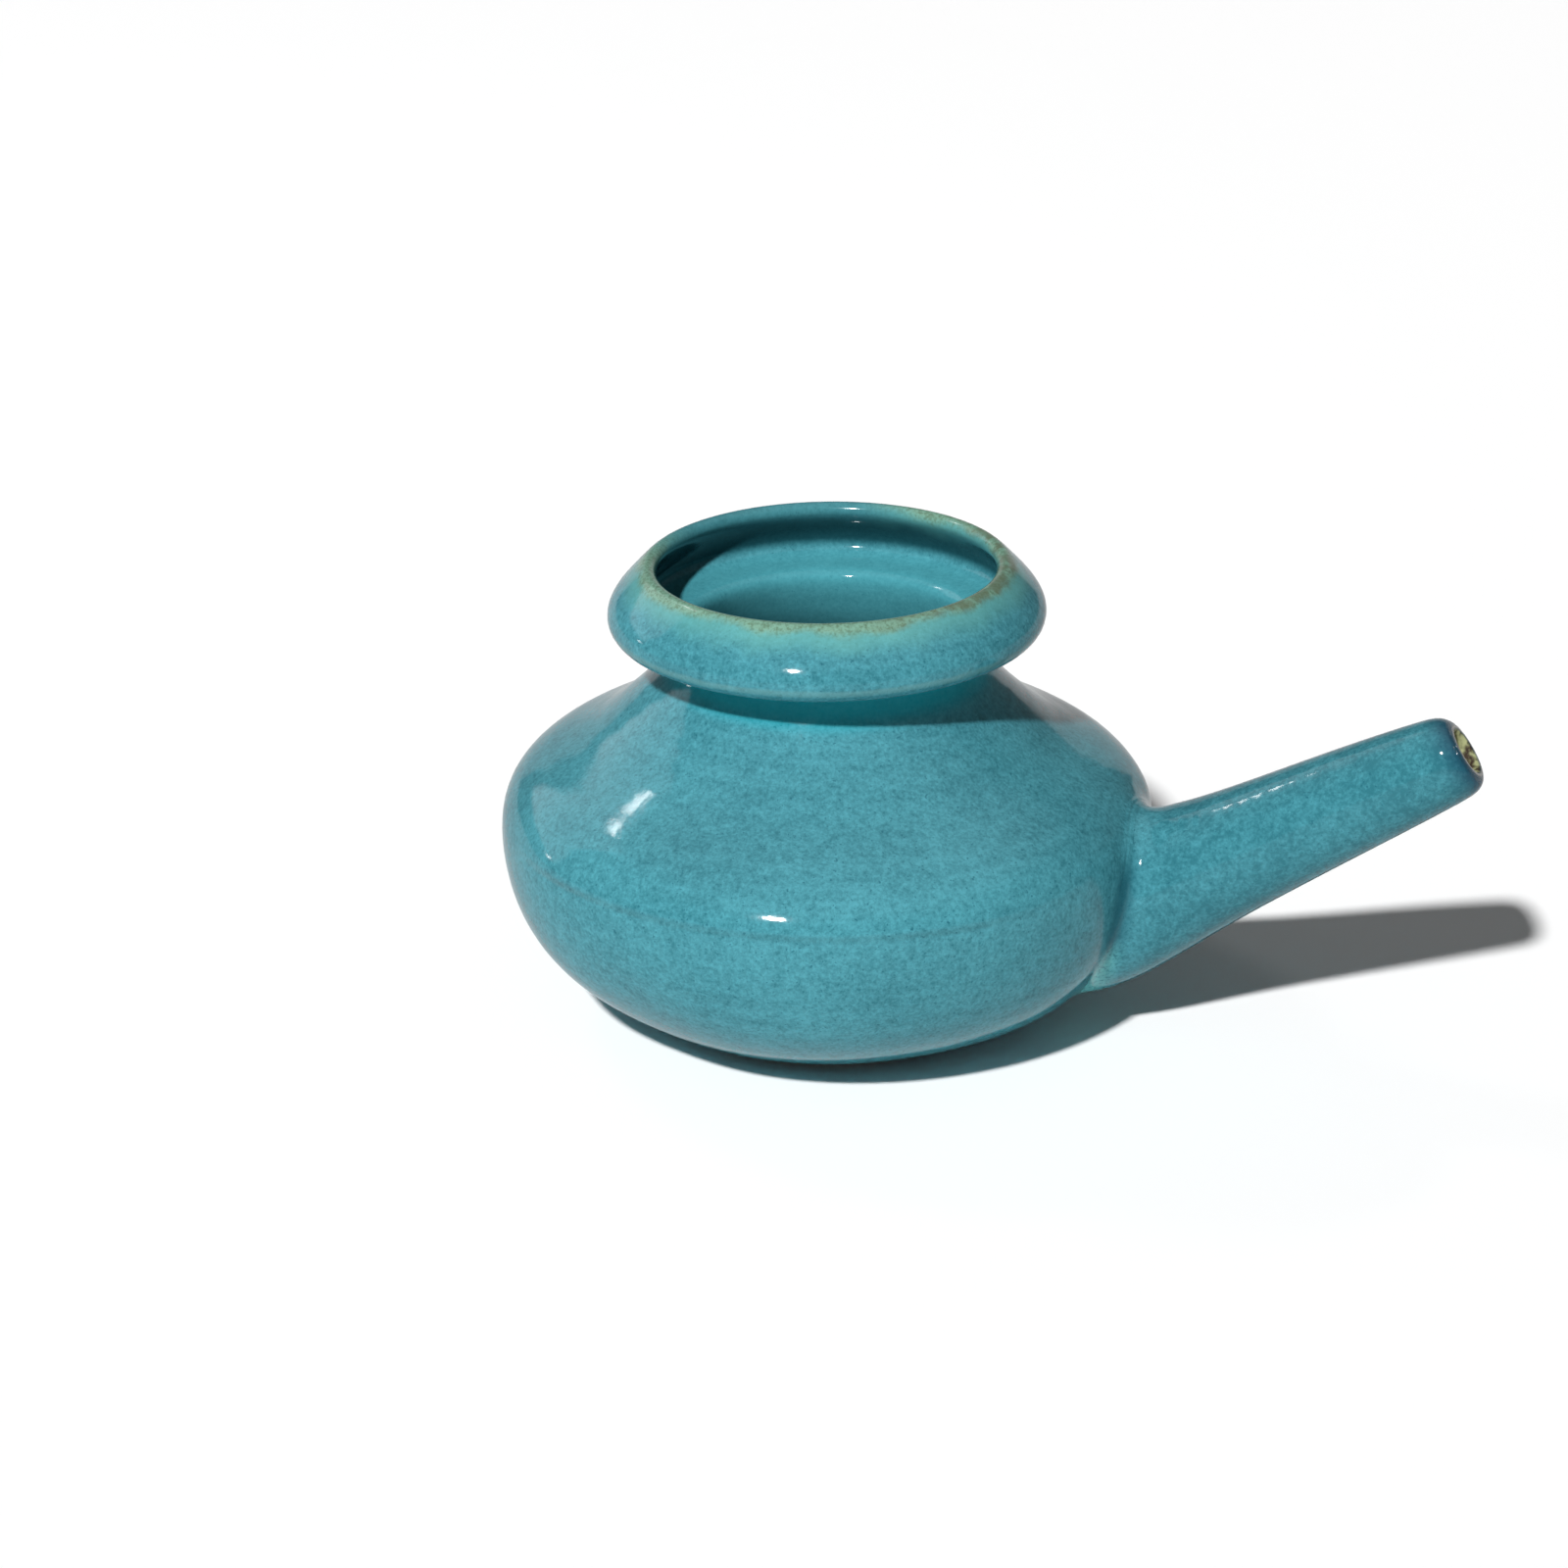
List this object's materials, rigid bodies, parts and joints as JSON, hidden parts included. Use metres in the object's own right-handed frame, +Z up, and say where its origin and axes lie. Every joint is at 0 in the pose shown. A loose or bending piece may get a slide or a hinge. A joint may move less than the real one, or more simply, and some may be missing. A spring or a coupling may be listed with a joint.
{
  "type": "neti pot",
  "caption": "Squat round-bellied ceramic pot with an open collared mouth and a tapered pouring spout for rinsing the nose with salt water.",
  "frame": {"origin": "centre of the flat foot, on the surface that the pot stands on", "axes": "+Z up along the pot's own axis, +X towards the spout, whose axis lies in the XZ plane, +Y to the left of the spout"},
  "size_m": [0.1638, 0.11, 0.0791],
  "materials": {
    "glazed_stoneware": "glossy turquoise glaze, finely mottled and speckled, breaking to olive green on the lip; bare clay on the foot"
  },
  "bodies": {
    "root": {"pot": "glazed_stoneware"}
  },
  "joints": []
}
